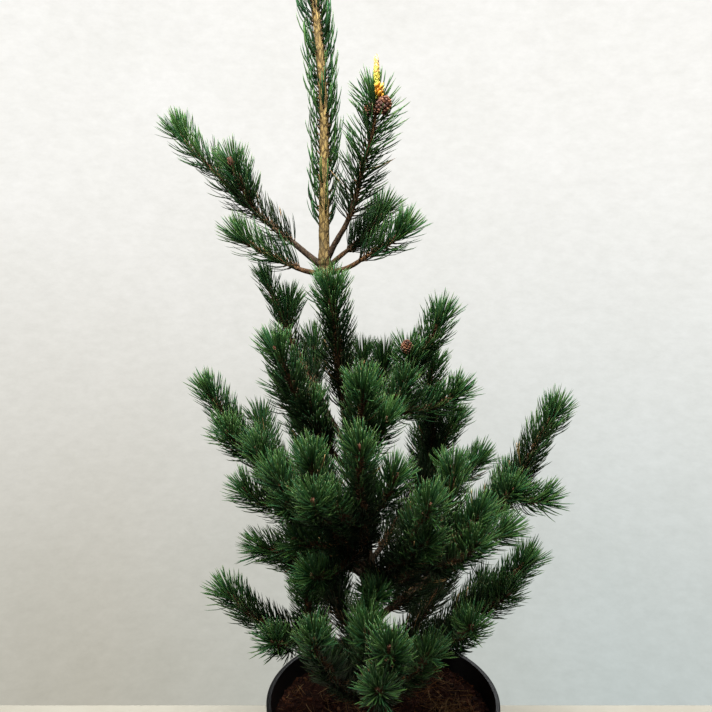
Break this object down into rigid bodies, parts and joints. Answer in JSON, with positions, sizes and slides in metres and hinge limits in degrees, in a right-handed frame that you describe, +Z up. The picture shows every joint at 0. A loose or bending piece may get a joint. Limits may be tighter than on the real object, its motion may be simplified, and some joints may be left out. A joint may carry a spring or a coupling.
{
  "type": "potted young pine tree",
  "caption": "Young pine with a straight leader and tiers of upswept, needle-covered boughs, growing in a round plastic nursery container of potting soil.",
  "frame": {"origin": "centre of the container's flat base, where it rests", "axes": "+Z up along the plant, +X to the right and +Y to the back as seen from the front"},
  "size_m": [0.4369, 0.3906, 1.012],
  "materials": {
    "black_plastic": "satin",
    "bark_mix": "matte",
    "bark": "matte",
    "young_bark": "matte",
    "needles": "satin",
    "cone_scales": "matte",
    "new_shoot": "matte"
  },
  "bodies": {
    "root": {"pot": "black_plastic", "potting_soil": "bark_mix", "trunk": "bark", "bough_1_left": "young_bark", "bough_1_low_left": "young_bark", "bough_1_right": "young_bark", "bough_1_low_right": "young_bark", "bough_1_back": "young_bark", "bough_2_left": "bark", "bough_2_front_left": "bark", "bough_2_front_top": "bark", "bough_2_front": "bark", "bough_2_right": "bark", "bough_2_back": "bark", "bough_3_left": "bark", "bough_3_low_left": "bark", "bough_3_front_left": "bark", "bough_3_front": "bark", "bough_3_front_right": "bark", "bough_3_right_front": "bark", "bough_3_right": "bark", "bough_3_back_right": "bark", "bough_3_back_left": "bark", "bough_4_left": "bark", "bough_4_front_left": "bark", "bough_4_front": "bark", "bough_4_right": "bark", "bough_4_back_right": "bark", "bough_4_back_left": "bark", "needles_1_left": "needles", "needles_1_low_left": "needles", "needles_1_right": "needles", "needles_1_low_right": "needles", "needles_1_back": "needles", "needles_2_left": "needles", "needles_2_front_left": "needles", "needles_2_front_top": "needles", "needles_2_front": "needles", "needles_2_right": "needles", "needles_2_back": "needles", "needles_3_left": "needles", "needles_3_low_left": "needles", "needles_3_front_left": "needles", "needles_3_front": "needles", "needles_3_front_right": "needles", "needles_3_right_front": "needles", "needles_3_right": "needles", "needles_3_back_right": "needles", "needles_3_back_left": "needles", "needles_4_left": "needles", "needles_4_front_left": "needles", "needles_4_front": "needles", "needles_4_right": "needles", "needles_4_back_right": "needles", "needles_4_back_left": "needles", "needles_leader": "needles", "cone_top": "cone_scales", "cone_top_left": "cone_scales", "cone_middle": "cone_scales", "candle": "new_shoot"}
  },
  "joints": []
}
